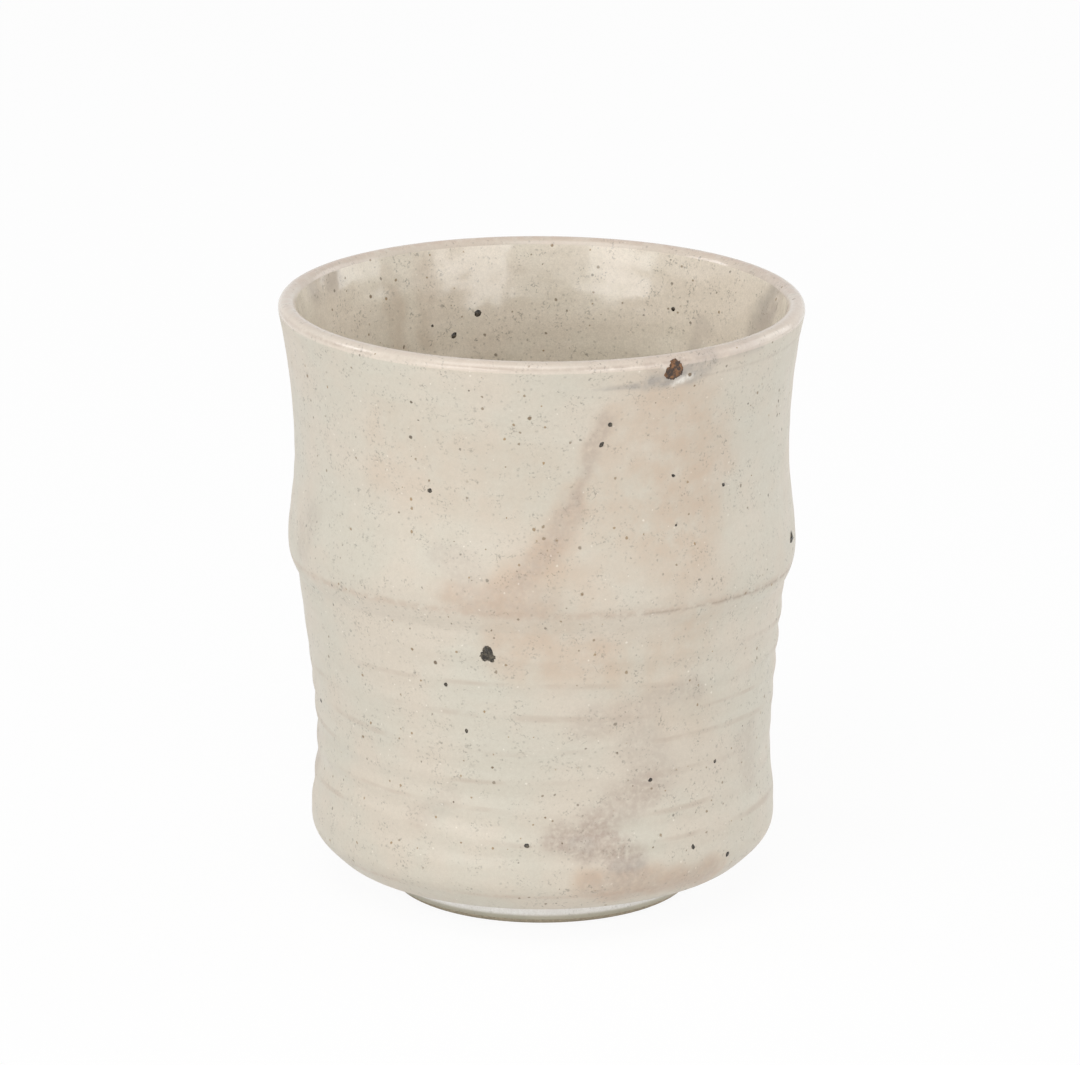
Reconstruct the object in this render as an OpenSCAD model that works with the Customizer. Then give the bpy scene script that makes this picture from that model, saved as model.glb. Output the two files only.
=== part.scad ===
// Yunomi: a tall Japanese tea cup without a handle, thrown in stoneware and coated with a pale
// feldspar glaze. Millimetres, +Z up, standing on Z = 0 with its axis on Z.
// Each coat of glaze is a solid of its own that fits the clay under it, and the iron grains that
// melted through a coat are plugs that fill their holes in it.

/* [Cup] */
// Height from the ground to the top of the lip
cup_height = 88; // [80:0.5:100]
// Diameter across the outside of the mouth
mouth_diameter = 76; // [66:0.5:84]
// Wall at the lip, which is rounded over
lip_thickness = 2.6; // [2:0.1:3.2]

/* [Outline across, from the mouth down] */
// How far the neck is set in from the mouth
neck_inset = 2.1; // [1.4:0.1:3]
// How far the belt swells out from the neck, like the joint of a bamboo
belt_swell = 1.1; // [0.4:0.1:2]
// How far the step under the belt is cut in
step_depth = 1.5; // [0.8:0.1:2]
// How far the waist is set in from the step
waist_inset = 2.35; // [1.5:0.05:3]
// How far the hip above the base swells out from the waist
hip_swell = 0.9; // [0.4:0.1:2]
// How far the top of the turned bevel is set in from the hip
bevel_inset = 1.05; // [0.5:0.05:2]
// How far the base, where the bevel meets the underside, is set in from the top of the bevel
base_inset = 3.1; // [2:0.1:4]
// Radius of the base's edge
base_edge_radius = 1.2; // [0.8:0.1:2]

/* [Outline upwards, from the underside] */
// Rise of the turned bevel
bevel_rise = 3; // [2:0.1:4]
// Rise from the top of the bevel to the hip
hip_rise = 3; // [2:0.1:5]
// Rise from the hip to the waist
waist_rise = 11.2; // [8:0.2:14]
// Rise from the waist to the step
step_rise = 25.2; // [20:0.2:28]
// Rise from the step to the widest place on the belt
belt_rise = 4.8; // [4:0.2:8]
// Rise from the belt to the neck
neck_rise = 13; // [10:0.2:16]

/* [Inside] */
// Wall at the neck, coats included
neck_wall = 3.4; // [2.8:0.1:4.5]
// Wall at the belt, coats included
belt_wall = 4.2; // [3.6:0.1:5]
// Wall where it curves into the floor, coats included
waist_wall = 4.2; // [3:0.1:6]
// Thickness of the floor, coats included
floor_thickness = 5.2; // [4:0.2:8]
// Radius of the round corner between wall and floor
floor_radius = 13; // [8:0.5:16]
// Depth of the shallow dish in the floor, where the last tea gathers
dish_depth = 0.6; // [0:0.1:1.2]

/* [Foot] */
// How far the foot ring is set in from the base, measured at the ground, coats included
foot_inset = 7.4; // [5:0.1:12]
// How far the foot ring widens from the ground to the underside
foot_flare = 0.6; // [0:0.1:2]
// Height of the foot ring, from the ground to the underside
foot_height = 4.8; // [4:0.1:6]
// Width of the foot ring, coats included
foot_width = 4.6; // [3.6:0.1:7]
// Radius of the edges of the face that the foot stands on
foot_edge_radius = 0.5; // [0.2:0.1:0.8]
// Height of the clay that is left bare above that edge
bare_band = 0.4; // [0.2:0.1:0.8]

/* [Glaze] */
// Thickness of the coats
glaze_thickness = 0.5; // [0.3:0.05:0.6]
// Radius of the glaze that pools in the corners of the foot
pool_radius = 2.8; // [1.4:0.1:3.2]

/* [Iron] */
// Diameter of the largest iron grain in the wall
grain_diameter = 2.2; // [1.5:0.1:3]
// Diameter of the burst nodule on the lip
nodule_diameter = 2.9; // [2:0.1:3.6]
// Distance from the top of the lip to the middle of the nodule
nodule_drop = 2.2; // [1.8:0.1:2.6]

/* [Hidden] */
$fn = 96;

// Steps along a long curve, along a short one, around a rounded corner and over the lip
long_steps = 12;
short_steps = 5;
corner_steps = 4;
lip_steps = 10;

// Power of the curve from the waist up to the step, and from the hip down to the bevel
taper_power = 1.35;
hip_power = 2.6;
// Azimuth of the nodule, from the +X axis
nodule_azimuth = -60.8;

// Iron grains outside: azimuth, height as a share of the cup's, size as a share of the largest.
// The first fifteen are on the front, at -Y, and the rest are spread over the back.
outer_grain_shares = [
    [-102.5, 0.503, 1.00], [-115.8, 0.773, 0.33], [-94.0, 0.181, 0.33], [-63.0, 0.278, 0.30],
    [-42.8, 0.284, 0.27], [-50.5, 0.150, 0.33], [-38.3, 0.118, 0.33], [-44.5, 0.760, 0.30],
    [-58.5, 0.710, 0.23], [-76.8, 0.860, 0.36], [-75.0, 0.893, 0.33], [-59.3, 0.794, 0.27],
    [-113.3, 0.447, 0.30], [-108.8, 0.370, 0.27], [-12.3, 0.616, 0.77],
    [34.0, 0.640, 0.36], [62.0, 0.310, 0.30], [112.0, 0.720, 0.40], [131.0, 0.240, 0.33],
    [152.0, 0.430, 0.50], [171.0, 0.810, 0.27], [196.0, 0.340, 0.33]];
// Iron grains inside, in the same three columns. The last three lie deeper in the cup.
inner_grain_shares = [
    [106.5, 0.878, 0.50], [113.3, 0.845, 0.40], [54.5, 0.900, 0.33], [119.3, 0.865, 0.20],
    [-62.0, 0.560, 0.36], [-138.0, 0.420, 0.30], [198.0, 0.720, 0.30]];

// Radii from the mouth down
mouth_r = mouth_diameter / 2;
neck_r = mouth_r - neck_inset;
belt_r = neck_r + belt_swell;
step_r = belt_r - step_depth;
waist_r = step_r - waist_inset;
hip_r = waist_r + hip_swell;
bevel_r = hip_r - bevel_inset;
base_r = bevel_r - base_inset;
foot_r = base_r - foot_inset;
foot_top_r = foot_r + foot_flare;
well_r = foot_r - foot_width;

// Heights from the underside up
bevel_height = foot_height + bevel_rise;
hip_height = bevel_height + hip_rise;
waist_height = hip_height + waist_rise;
step_height = waist_height + step_rise;
belt_height = step_height + belt_rise;
neck_height = belt_height + neck_rise;

// Clay faces of the foot under its coats, and the level where the ring joins the body. The outer
// face leans, so its coat is thicker when it is measured along the ground.
foot_clay_r = foot_r - glaze_thickness / unit([foot_flare, foot_height]).y;
well_clay_r = well_r + glaze_thickness;
joint_z = foot_height + glaze_thickness;
glaze_line = foot_edge_radius + bare_band;

// Centre of the rounded lip, and the lean of the two wall faces where they run into it
lip_r = lip_thickness / 2;
lip_centre = [mouth_r - lip_r, cup_height - lip_r];
inner_neck_r = neck_r - neck_wall;
outer_lean = atan2(2 * (mouth_r - neck_r), lip_centre.y - neck_height);
inner_lean = atan2(2 * (lip_centre.x - lip_r - inner_neck_r), lip_centre.y - neck_height);

// Inside faces of the belt and waist, and the round corner down to the floor
inner_belt_r = belt_r - belt_wall;
inner_waist_r = waist_r - waist_wall;
floor_z = foot_height + floor_thickness;
corner_centre = [inner_waist_r - floor_radius, floor_z + floor_radius];

function ease(s) = s * s * (3 - 2 * s);
function unit(v) = v / norm(v);
function turned(v, angle) = [v.x * cos(angle) - v.y * sin(angle), v.x * sin(angle) + v.y * cos(angle)];

// Points after a, up to b: the radius follows a power of the height, or eases at both ends
function bowed(a, b, power, steps) = [for (i = [1 : steps])
    let (s = i / steps) [a.x + (b.x - a.x) * pow(s, power), a.y + (b.y - a.y) * s]];
function eased(a, b, steps) = [for (i = [1 : steps])
    let (s = i / steps) [a.x + (b.x - a.x) * ease(s), a.y + (b.y - a.y) * s]];
function backwards(points) = [for (i = [len(points) - 1 : -1 : 0]) points[i]];

// The same from the other end: points after a, up to b, where the curve leaves b upright
function bowed_back(a, b, power, steps) = [for (i = [steps - 1 : -1 : 0])
    let (s = i / steps) [b.x + (a.x - b.x) * pow(s, power), b.y + (a.y - b.y) * s]];

// Points of an arc, and of a rounded corner between the way in from a and the way out to b
function arc(centre, radius, from, to, steps) = [for (i = [0 : steps])
    centre + radius * turned([1, 0], from + (to - from) * i / steps)];
function rounded(a, corner, b, radius) =
    let (u = unit(a - corner), v = unit(b - corner), half = acos(u * v) / 2)
    let (centre = corner + unit(u + v) * radius / sin(half))
    let (start = corner + u * radius / tan(half) - centre)
    let (sweep = -sign(cross(u, v)) * (180 - 2 * half))
    [for (i = [0 : corner_steps]) centre + turned(start, sweep * i / corner_steps)];

// Offsets a path to its left by a distance, keeping its segments parallel
function left(a, b) = let (d = unit(b - a)) [-d.y, d.x];
function mitred(path, i, distance) =
    let (n = left(path[max(i - 1, 0)], path[max(i, 1)]))
    let (m = left(path[min(i, len(path) - 2)], path[min(i + 1, len(path) - 1)]))
    path[i] + distance * (n + m) / (1 + n * m);

// Turning points of the outside, from the base up
base_corner = [base_r, foot_height];
bevel_edge = [bevel_r, bevel_height];
hip = [hip_r, hip_height];
waist = [waist_r, waist_height];
step = [step_r, step_height];
belt = [belt_r, belt_height];
neck = [neck_r, neck_height];
foot_corner = [foot_top_r, foot_height];
foot_coat_edge = [foot_r + foot_flare * glaze_line / foot_height, glaze_line];

// Finished surface in four runs, each ending where the next one starts. The coat of the foot ends
// in the pooled corner, the outer coat at the lip and the lip's band at the inside wall.
lip_run = arc(lip_centre, lip_r, -outer_lean, 180 - inner_lean, lip_steps);
foot_run = concat([foot_coat_edge], rounded(foot_coat_edge, foot_corner, base_corner, pool_radius));
outer_run = concat(
    rounded(foot_corner, base_corner, bevel_edge, base_edge_radius), [bevel_edge],
    bowed_back(bevel_edge, hip, hip_power, short_steps), eased(hip, waist, short_steps),
    bowed(waist, step, taper_power, long_steps),
    bowed_back(step, belt, 2, short_steps), eased(belt, neck, short_steps),
    bowed(neck, lip_run[0], 2, long_steps));
inner_run = concat(
    bowed_back(lip_run[lip_steps], [inner_neck_r, neck_height], 2, long_steps),
    eased([inner_neck_r, neck_height], [inner_belt_r, belt_height], short_steps),
    eased([inner_belt_r, belt_height], [inner_waist_r, corner_centre.y], long_steps),
    [for (p = arc(corner_centre, floor_radius, 0, -90, long_steps)) if (p.y < corner_centre.y) p],
    [for (i = [1 : short_steps]) let (s = i / short_steps)
        [corner_centre.x * (1 - s), floor_z - dish_depth * ease(s)]]);
skin = concat(foot_run, outer_run, [for (i = [1 : lip_steps]) lip_run[i]], inner_run);

// Places on the skin where one coat ends and the next starts
joint_i = len(foot_run) - 1;
lip_start_i = joint_i + len(outer_run);
lip_end_i = lip_start_i + lip_steps;
axis_i = len(skin) - 1;

// Surface of the clay under the coats, which ends on the axis
clay = [for (i = [0 : axis_i]) i == axis_i
    ? [0, skin[i].y - glaze_thickness]
    : mitred(skin, i, glaze_thickness)];

// Radius of the outside and of the inside at a height
outer_heights = [for (i = [joint_i : lip_start_i]) [skin[i].y, skin[i].x]];
inner_heights = backwards([for (i = [lip_end_i : axis_i]) [skin[i].y, skin[i].x]]);
function outer_radius(z) = lookup(z, outer_heights);
function inner_radius(z) = lookup(z, inner_heights);

// A coat between two places on the skin
module coat(first, last) {
    rotate_extrude()
        polygon(concat([for (i = [first : last]) skin[i]], [for (i = [last : -1 : first]) clay[i]]));
}

// A plug through a face of the wall at a radius, reaching as far to either side of the face
module grain(azimuth, radius, height, size, reach) {
    rotate([0, 0, azimuth])
        translate([radius, 0, height])
            rotate([0, 90, 0])
                cylinder(d = size, h = 2 * reach, center = true);
}

// Grains that pass through a coat and end in the clay
module outer_grains() {
    for (share = outer_grain_shares) {
        height = share[1] * cup_height;
        size = share[2] * grain_diameter;
        grain(share[0], outer_radius(height), height, size, glaze_thickness + size / 2);
    }
}

module inner_grains() {
    for (share = inner_grain_shares) {
        height = share[1] * cup_height;
        size = share[2] * grain_diameter;
        grain(share[0], inner_radius(height), height, size, glaze_thickness + size / 2);
    }
}

// The nodule lies across the edge between the lip's band and the outer coat, and ends in mid lip
module nodule_plug() {
    height = cup_height - nodule_drop;
    radius = outer_radius(height);
    grain(nodule_azimuth, radius, height, nodule_diameter, radius - lip_centre.x);
}

module thrown_body() {
    color("tan")
        rotate_extrude()
            polygon(concat([for (i = [joint_i : axis_i]) clay[i]], [[0, joint_z]]));
}

module foot_ring() {
    well_top = [well_clay_r, joint_z];
    well_bottom = [well_clay_r, 0];
    foot_bottom = [foot_clay_r, 0];
    color("tan")
        rotate_extrude()
            polygon(concat(
                [well_top],
                rounded(well_top, well_bottom, foot_bottom, foot_edge_radius),
                rounded(well_bottom, foot_bottom, clay[0], foot_edge_radius),
                [for (i = [0 : joint_i]) clay[i]]));
}

module outer_glaze() {
    color("antiquewhite")
        difference() {
            coat(joint_i, lip_start_i);
            outer_grains();
            nodule_plug();
        }
}

module lip_glaze() {
    color("linen")
        difference() {
            coat(lip_start_i, lip_end_i);
            nodule_plug();
        }
}

module inner_glaze() {
    color("wheat")
        difference() {
            coat(lip_end_i, axis_i);
            inner_grains();
        }
}

module foot_glaze() {
    color("ivory")
        coat(0, joint_i);
}

module well_glaze() {
    ceiling_middle = [0, foot_height];
    coat_edge = [well_r, glaze_line];
    color("ivory")
        rotate_extrude()
            polygon(concat(
                [coat_edge],
                rounded(coat_edge, [well_r, foot_height], ceiling_middle, pool_radius),
                [ceiling_middle, [0, joint_z], [well_clay_r, joint_z], [well_clay_r, glaze_line]]));
}

module outer_iron_spots() {
    color("saddlebrown")
        intersection() {
            coat(joint_i, lip_start_i);
            outer_grains();
        }
}

module inner_iron_spots() {
    color("saddlebrown")
        intersection() {
            coat(lip_end_i, axis_i);
            inner_grains();
        }
}

module lip_iron_nodule() {
    color("sienna")
        intersection() {
            coat(joint_i, lip_end_i);
            nodule_plug();
        }
}

thrown_body();
foot_ring();
outer_glaze();
lip_glaze();
inner_glaze();
foot_glaze();
well_glaze();
outer_iron_spots();
inner_iron_spots();
lip_iron_nodule();
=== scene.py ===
# %% [markdown]
# A yunomi is a tall Japanese tea cup without a handle. This one is thrown in stoneware, with a belt
# at mid height like the joint of a bamboo, and it wears a pale feldspar glaze with pink and smoky
# blushes and grains of iron. The lesson dresses the cup's plain solids: it gives them the small
# faults of a thrown pot, the finish of each coat, a camera and a soft studio light.

# %% Load the solids
import math

import bmesh
import bpy
import numpy as np
from mathutils import Matrix, Vector, noise
from mathutils.bvhtree import BVHTree


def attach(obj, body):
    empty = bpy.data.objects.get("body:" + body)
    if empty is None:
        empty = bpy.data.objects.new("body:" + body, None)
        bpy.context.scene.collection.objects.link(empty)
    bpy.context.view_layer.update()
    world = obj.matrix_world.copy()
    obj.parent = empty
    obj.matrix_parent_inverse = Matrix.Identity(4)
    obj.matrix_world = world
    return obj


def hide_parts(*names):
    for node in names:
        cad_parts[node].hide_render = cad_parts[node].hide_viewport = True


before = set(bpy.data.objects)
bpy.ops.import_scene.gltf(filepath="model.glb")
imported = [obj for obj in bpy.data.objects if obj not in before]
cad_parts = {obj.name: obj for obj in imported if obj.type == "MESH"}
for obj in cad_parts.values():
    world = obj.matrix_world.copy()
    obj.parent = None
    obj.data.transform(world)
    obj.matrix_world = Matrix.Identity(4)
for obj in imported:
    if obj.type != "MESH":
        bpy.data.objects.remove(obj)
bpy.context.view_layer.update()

MM = 0.001
print("solids:", ", ".join(sorted(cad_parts)))

# %% [markdown]
# A thrown pot is one line turned about an axis, so a single slice through each solid holds all of its
# shape. The outline could be typed again here as points, but then two files would have to agree. A
# copy of the solid is cut with bisect_plane instead, once through the axis and once along it, and
# what stays is the wire of its section. The copy is merged first, because its triangles are loose.

# %% Cut a solid down to its section
MERGE = 0.001 * MM


def half_section(node):
    """The half of a solid's section on the +X side, as a wire in a new bmesh."""
    wire = bmesh.new()
    wire.from_mesh(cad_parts[node].data)
    bmesh.ops.remove_doubles(wire, verts=wire.verts, dist=MERGE)
    for normal, clear_outer in (((0, 1, 0), True), ((1, 0, 0), False)):
        everything = wire.verts[:] + wire.edges[:] + wire.faces[:]
        bmesh.ops.bisect_plane(
            wire, geom=everything, dist=MERGE, plane_co=(0, 0, 0), plane_no=normal,
            clear_inner=True, clear_outer=clear_outer)
    return wire


for node in ("outer_glaze", "thrown_body"):
    wire = half_section(node)
    print(node, "section:", len(wire.verts), "points")
    wire.free()

# %% [markdown]
# The section is made of straight steps, and a glossy glaze would show each step as a band. So the
# side of a coat that is seen gets more points, and smooth_vert then relaxes them into a curve. Points
# at a real corner, where the line turns sharply, are held. The side that lies on the clay is out of
# sight and keeps the points that it has: a search tree of the clay's faces tells the two apart.

# %% Refine and ease the side that is seen
CLAY_NODES = ("thrown_body", "foot_ring")
ON_CLAY = 0.1 * MM
SLIGHT_CORNER = math.radians(12)
SHARP_CORNER = math.radians(30)


def clay_tree():
    """A search tree of all clay faces."""
    clay = bmesh.new()
    for node in CLAY_NODES:
        clay.from_mesh(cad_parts[node].data)
    tree = BVHTree.FromBMesh(clay)
    clay.free()
    return tree


CLAY = clay_tree()


def on_clay(vert):
    """Whether a point of a section touches the clay."""
    return CLAY.find_nearest(vert.co)[3] < ON_CLAY


def turn_at(vert):
    """The angle by which a wire turns at one of its points."""
    if len(vert.link_edges) != 2:
        return math.pi
    first, second = (edge.other_vert(vert).co - vert.co for edge in vert.link_edges)
    return math.pi - first.angle(second)


def eased_section(node, spacing, rounds, corner=SLIGHT_CORNER, whole=False):
    """A solid's half section, with points no further apart than a spacing where it is seen."""
    wire = half_section(node)
    for edge in wire.edges[:]:
        cuts = int(edge.calc_length() / spacing)
        if cuts and (whole or not all(on_clay(vert) for vert in edge.verts)):
            bmesh.ops.subdivide_edges(wire, edges=[edge], cuts=cuts)
    loose = [vert for vert in wire.verts if turn_at(vert) < corner and (whole or not on_clay(vert))]
    for _ in range(rounds):
        bmesh.ops.smooth_vert(
            wire, verts=loose, factor=0.5, use_axis_x=True, use_axis_y=True, use_axis_z=True)
    return wire


wire = eased_section("outer_glaze", spacing=0.45 * MM, rounds=12)
print("outer coat, refined:", len(wire.verts), "points")
wire.free()

# %% [markdown]
# No hand-thrown cup is quite round. This one leans a little at the waist, its rim rises at the
# back, the belt sits on a slant, and the fingers left a shallow spiral, clearest under the belt. All
# pieces pass through the same small field of offsets, so that the coats still fit the clay. The
# offsets die out towards the ground, and the foot still stands flat. Lengths are in millimetres here,
# and a pair of heights is where an offset sets in or ends.

# %% The thrower's hand
RING_PITCH = 4.6
RING_TRACE = 0.025
RING_DEPTH = 0.11
RINGS_START = (9, 15)
RINGS_END = (42, 47)
OVAL = 0.07
DENTS = 0.04
UNEVEN_START = (4, 30)
HAND_START = (5, 9)
HAND_END = (83, 87)
OFF_FLOOR = (9, 14)
OFF_AXIS = (0, 20)
WAIST = 25
WAIST_SPREAD = 15
WAIST_LEAN = 0.35
RIM_START = (60, 88)
RIM_TILT = 0.35
RIM_HIGH_AT = math.radians(125)
BELT_MIDDLE = 49.5
BELT_SPREAD = 5
BELT_SLANT = 1.0
BELT_HIGH_AT = math.radians(-121)


def smooth_between(low, high, value):
    """0 below low, 1 above high and a smooth step between them."""
    share = np.clip((value - low) / (high - low), 0, 1)
    return share * share * (3 - 2 * share)


def plateau(start, end, value):
    """1 between a start and an end. Each is the pair of values over which the step is made."""
    return smooth_between(*start, value) * (1 - smooth_between(*end, value))


def bell(value, middle, spread):
    """1 at the middle, fading to 0 at about twice the spread."""
    return np.exp(-((value - middle) / spread) ** 2)


def azimuth_and_height(co):
    """The azimuth in radians and the height in millimetres of points in metres."""
    return np.arctan2(co[:, 1], co[:, 0]), co[:, 2] / MM


def ring_wave(azimuth, height):
    """The spiral that the fingers left, from -1 in a groove to 1 on a ridge."""
    turns = height / RING_PITCH + azimuth / (2 * math.pi)
    drift = 0.13 * np.sin(2 * azimuth + 0.21 * height) + 0.08 * np.sin(3 * azimuth - 0.4 * height)
    return np.sin(2 * math.pi * (turns + drift))


def by_hand(co):
    """Points in metres, moved as the thrower's hand left them."""
    azimuth, height = azimuth_and_height(co)
    grip = 0.6 + 0.4 * np.sin(azimuth + 0.17 * height + 1)
    depth = RING_TRACE + RING_DEPTH * plateau(RINGS_START, RINGS_END, height)
    uneven = smooth_between(*UNEVEN_START, height)
    out = depth * grip * ring_wave(azimuth, height)
    out += OVAL * np.sin(2 * azimuth + 0.05 * height + 1) * uneven
    out += DENTS * np.sin(5 * azimuth - 0.11 * height + 2) * uneven
    out *= plateau(HAND_START, HAND_END, height)
    lean = WAIST_LEAN * bell(height, WAIST, WAIST_SPREAD)
    lift = RIM_TILT * smooth_between(*RIM_START, height) * np.cos(azimuth - RIM_HIGH_AT)
    lift += BELT_SLANT * bell(height, BELT_MIDDLE, BELT_SPREAD) * np.cos(azimuth - BELT_HIGH_AT)
    radius = np.hypot(co[:, 0], co[:, 1]) / MM
    off_floor = smooth_between(*OFF_FLOOR, height) * smooth_between(*OFF_AXIS, radius)
    moved = co.copy()
    moved[:, 0] += (out * off_floor * np.cos(azimuth) + lean) * MM
    moved[:, 1] += out * off_floor * np.sin(azimuth) * MM
    moved[:, 2] += lift * MM
    return moved


# %% [markdown]
# spin turns the section about the axis. It slows down as the mesh grows, so it makes an eighth of the
# circle only, and that is doubled three times by a copy that is turned on. The seams and the points
# on the axis fall together, so doubles are merged before the normals are worked out again. The
# finished mesh is smooth apart from true edges. The solids' stored normals came along with the copy
# and belong to the old faces, so they are dropped. The object stays at the origin, unturned and
# unscaled, as the solids do.

# %% Throw a piece
STEPS_SEEN = 256
STEPS_HIDDEN = 96
FIRST_SHARE = 8
TRUE_EDGE = math.radians(50)
STORED_NORMALS = "custom_normal"


def vertex_array(mesh):
    """The mesh's vertices as an array in metres."""
    co = np.empty(len(mesh.vertices) * 3)
    mesh.vertices.foreach_get("co", co)
    return co.reshape(-1, 3)


def new_piece(bm, name, node):
    """Makes a bmesh an object that rides on the cup and stands for a solid."""
    for face in bm.faces:
        face.smooth = True
    for edge in bm.edges:
        edge.smooth = edge.calc_face_angle(0) < TRUE_EDGE
    mesh = bpy.data.meshes.new(name)
    bm.to_mesh(mesh)
    bm.free()
    if STORED_NORMALS in mesh.attributes:
        mesh.attributes.remove(mesh.attributes[STORED_NORMALS])
    piece = bpy.data.objects.new(name, mesh)
    bpy.context.scene.collection.objects.link(piece)
    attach(piece, "root")
    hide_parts(node)
    print(name, "faces:", len(mesh.polygons))
    return piece


def throw(wire, name, node, steps):
    """Spins a section into a closed piece. It stays perfectly round until it is shaped by hand."""
    bmesh.ops.spin(
        wire, geom=wire.verts[:] + wire.edges[:], cent=(0, 0, 0), axis=(0, 0, 1), dvec=(0, 0, 0),
        angle=2 * math.pi / FIRST_SHARE, steps=steps // FIRST_SHARE)
    share = FIRST_SHARE
    while share > 1:
        whole = wire.verts[:] + wire.edges[:] + wire.faces[:]
        copied = bmesh.ops.duplicate(wire, geom=whole)["geom"]
        corners = [part for part in copied if isinstance(part, bmesh.types.BMVert)]
        turn = Matrix.Rotation(2 * math.pi / share, 3, "Z")
        bmesh.ops.rotate(wire, verts=corners, cent=(0, 0, 0), matrix=turn)
        share //= 2
    bmesh.ops.remove_doubles(wire, verts=wire.verts, dist=MERGE)
    bmesh.ops.recalc_face_normals(wire, faces=wire.faces)
    return new_piece(wire, name, node)


def shape_by_hand(piece):
    """Moves a thrown piece's vertices by the shared field."""
    moved = by_hand(vertex_array(piece.data))
    piece.data.vertices.foreach_set("co", moved.ravel())
    piece.data.update()


# %% [markdown]
# The clay hardly shows: the coats cover the wall, and only a narrow band and the contact face of the
# foot are bare. Its two pieces still get true meshes, because someone may cut the cup open.

# %% Clay
clay_body = throw(half_section("thrown_body"), "clay_body", "thrown_body", STEPS_HIDDEN)
foot_section = eased_section("foot_ring", spacing=0.3 * MM, rounds=4, corner=SHARP_CORNER, whole=True)
clay_foot = throw(foot_section, "clay_foot", "foot_ring", STEPS_SEEN)

# %% [markdown]
# The coats went on one after another: the outside was dipped, the inside was poured, and both meet in
# a band over the lip. Each is a thin closed shell, fine where it is seen.

# %% Coats


def coat(name, node, slot, steps, **easing):
    """Throws a coat from its eased section."""
    return throw(eased_section(node, **easing), name, node, steps)


outer_coat = coat(
    "outer_coat", "outer_glaze", "outer_coat", STEPS_SEEN, spacing=0.45 * MM, rounds=12)
lip_coat = coat(
    "lip_coat", "lip_glaze", "lip_coat", STEPS_SEEN, spacing=0.2 * MM, rounds=4, corner=SHARP_CORNER)
inner_coat = coat(
    "inner_coat", "inner_glaze", "inner_coat", STEPS_SEEN, spacing=0.55 * MM, rounds=12)
foot_coat = coat(
    "foot_coat", "foot_glaze", "foot_coat", STEPS_SEEN, spacing=0.25 * MM, rounds=3, corner=SHARP_CORNER)
well_coat = coat(
    "well_coat", "well_glaze", "foot_coat", STEPS_HIDDEN, spacing=0.6 * MM, rounds=3, corner=SHARP_CORNER)

# %% [markdown]
# The kiln painted the cup: pink where the glaze was thin in a reducing flame, smoky violet and blue where
# carbon was trapped. Painting by hand in the editor would store a picture. Here each patch is a soft
# stroke between two places, given by azimuth and height, and it is stored on the vertices as an attribute
# from 0 to 1. Noise bends the strokes, so that none has an even edge. The patches at the back follow those
# at the front in kind and size. Not all is kiln colour: one smoke stroke low on the front is painted shade
# under the bevel, and the pale strokes by the lip's nodule are partly its pale glaze rim and partly
# painted highlight.

# %% Kiln strokes: from azimuth and height, to azimuth and height, radius in millimetres, strength
WALL_RADIUS = 36.0
OUTER_STROKES = {
    "blush": [
        (-62, 80, -55, 66, 8.0, 0.75), (-70, 70, -58, 60, 7.0, 0.55), (-53, 79, -47, 70, 5.0, 0.40),
        (-74, 80, -81, 68, 1.8, 0.45), (-81, 68, -91, 58, 3.0, 0.75), (-90, 58, -99, 53, 4.4, 0.90),
        (-110, 53, -92, 51, 2.8, 0.90), (-74, 62, -84, 54, 6.5, 0.45), (-60, 58, -50, 51, 6.0, 0.35),
        (-53, 45, -60, 42, 5.0, 0.60), (-74, 43, -98, 45, 4.5, 0.75), (-80, 9.5, -42, 8, 2.8, 0.90),
        (-128, 79, -131, 68, 3.0, 0.25), (-118, 72, -98, 70, 9.0, 0.35), (-70, 36, -50, 33, 5.0, 0.30),
        (20, 76, 34, 60, 8.0, 0.70), (34, 60, 52, 52, 4.0, 0.80), (88, 82, 95, 66, 6.0, 0.50),
        (120, 24, 142, 14, 5.0, 0.60), (150, 60, 168, 53, 4.5, 0.75), (40, 9.5, 84, 8, 2.6, 0.70)],
    "smoke_and_shade": [
        (-64, 23, -78, 19, 3.4, 0.60), (-77, 18, -69, 12.5, 3.4, 0.90), (-87, 17, -81, 15, 2.8, 0.95),
        # The smoke stroke low at the front right, at 8 to 9 mm, is painted shade under the bevel.
        (-78, 9.3, -45, 8.3, 2.4, 0.40), (-60, 25, -66, 30, 4.0, 0.35), (-52, 37, -80, 34, 2.5, 0.35),
        (-30, 27, -26, 20, 3.0, 0.30), (-75, 79, -83, 66, 1.0, 0.60), (-83, 66, -93, 56, 2.2, 0.50),
        (-108, 53, -91, 52, 3.4, 0.36), (-155, 60, -160, 54, 3.0, 0.35), (-115, 22, -122, 18, 2.5, 0.25),
        (-112, 60, -106, 57, 2.0, 0.30),
        (60, 26, 82, 20, 5.0, 0.60), (104, 44, 124, 38, 3.0, 0.45), (170, 30, 184, 20, 4.0, 0.50),
        (-66, 87, -40, 87.4, 1.6, 0.45), (8, 87, 32, 87, 2.0, 0.50), (140, 87, 166, 87, 2.2, 0.50)],
    "ash_blue": [
        (-62, 84.5, -70, 84.2, 0.6, 0.65), (-70, 84.2, -76, 84.0, 0.4, 0.45),
        (-76, 84.0, -79, 83.9, 0.3, 0.25), (-56, 85.0, -67, 84.5, 1.2, 0.90),
        (-52, 86.2, -57, 85.2, 1.6, 0.75),
        (-51, 87.2, -55, 86.8, 1.3, 0.55), (-36, 87.2, -44, 87.2, 1.2, 0.40),
        (-83, 16.2, -80, 15.6, 1.3, 0.40), (-71, 12.3, -66, 12.0, 1.4, 0.45), (70, 18, 76, 16, 2.0, 0.40)],
    # The pale strokes by the nodule are partly its pale glaze rim and partly painted highlight on that
    # rim.
    "pale": [(-56.5, 84.7, -60, 84.1, 0.45, 0.80), (-63.5, 86.6, -62, 87.3, 0.4, 0.60)]}
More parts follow.
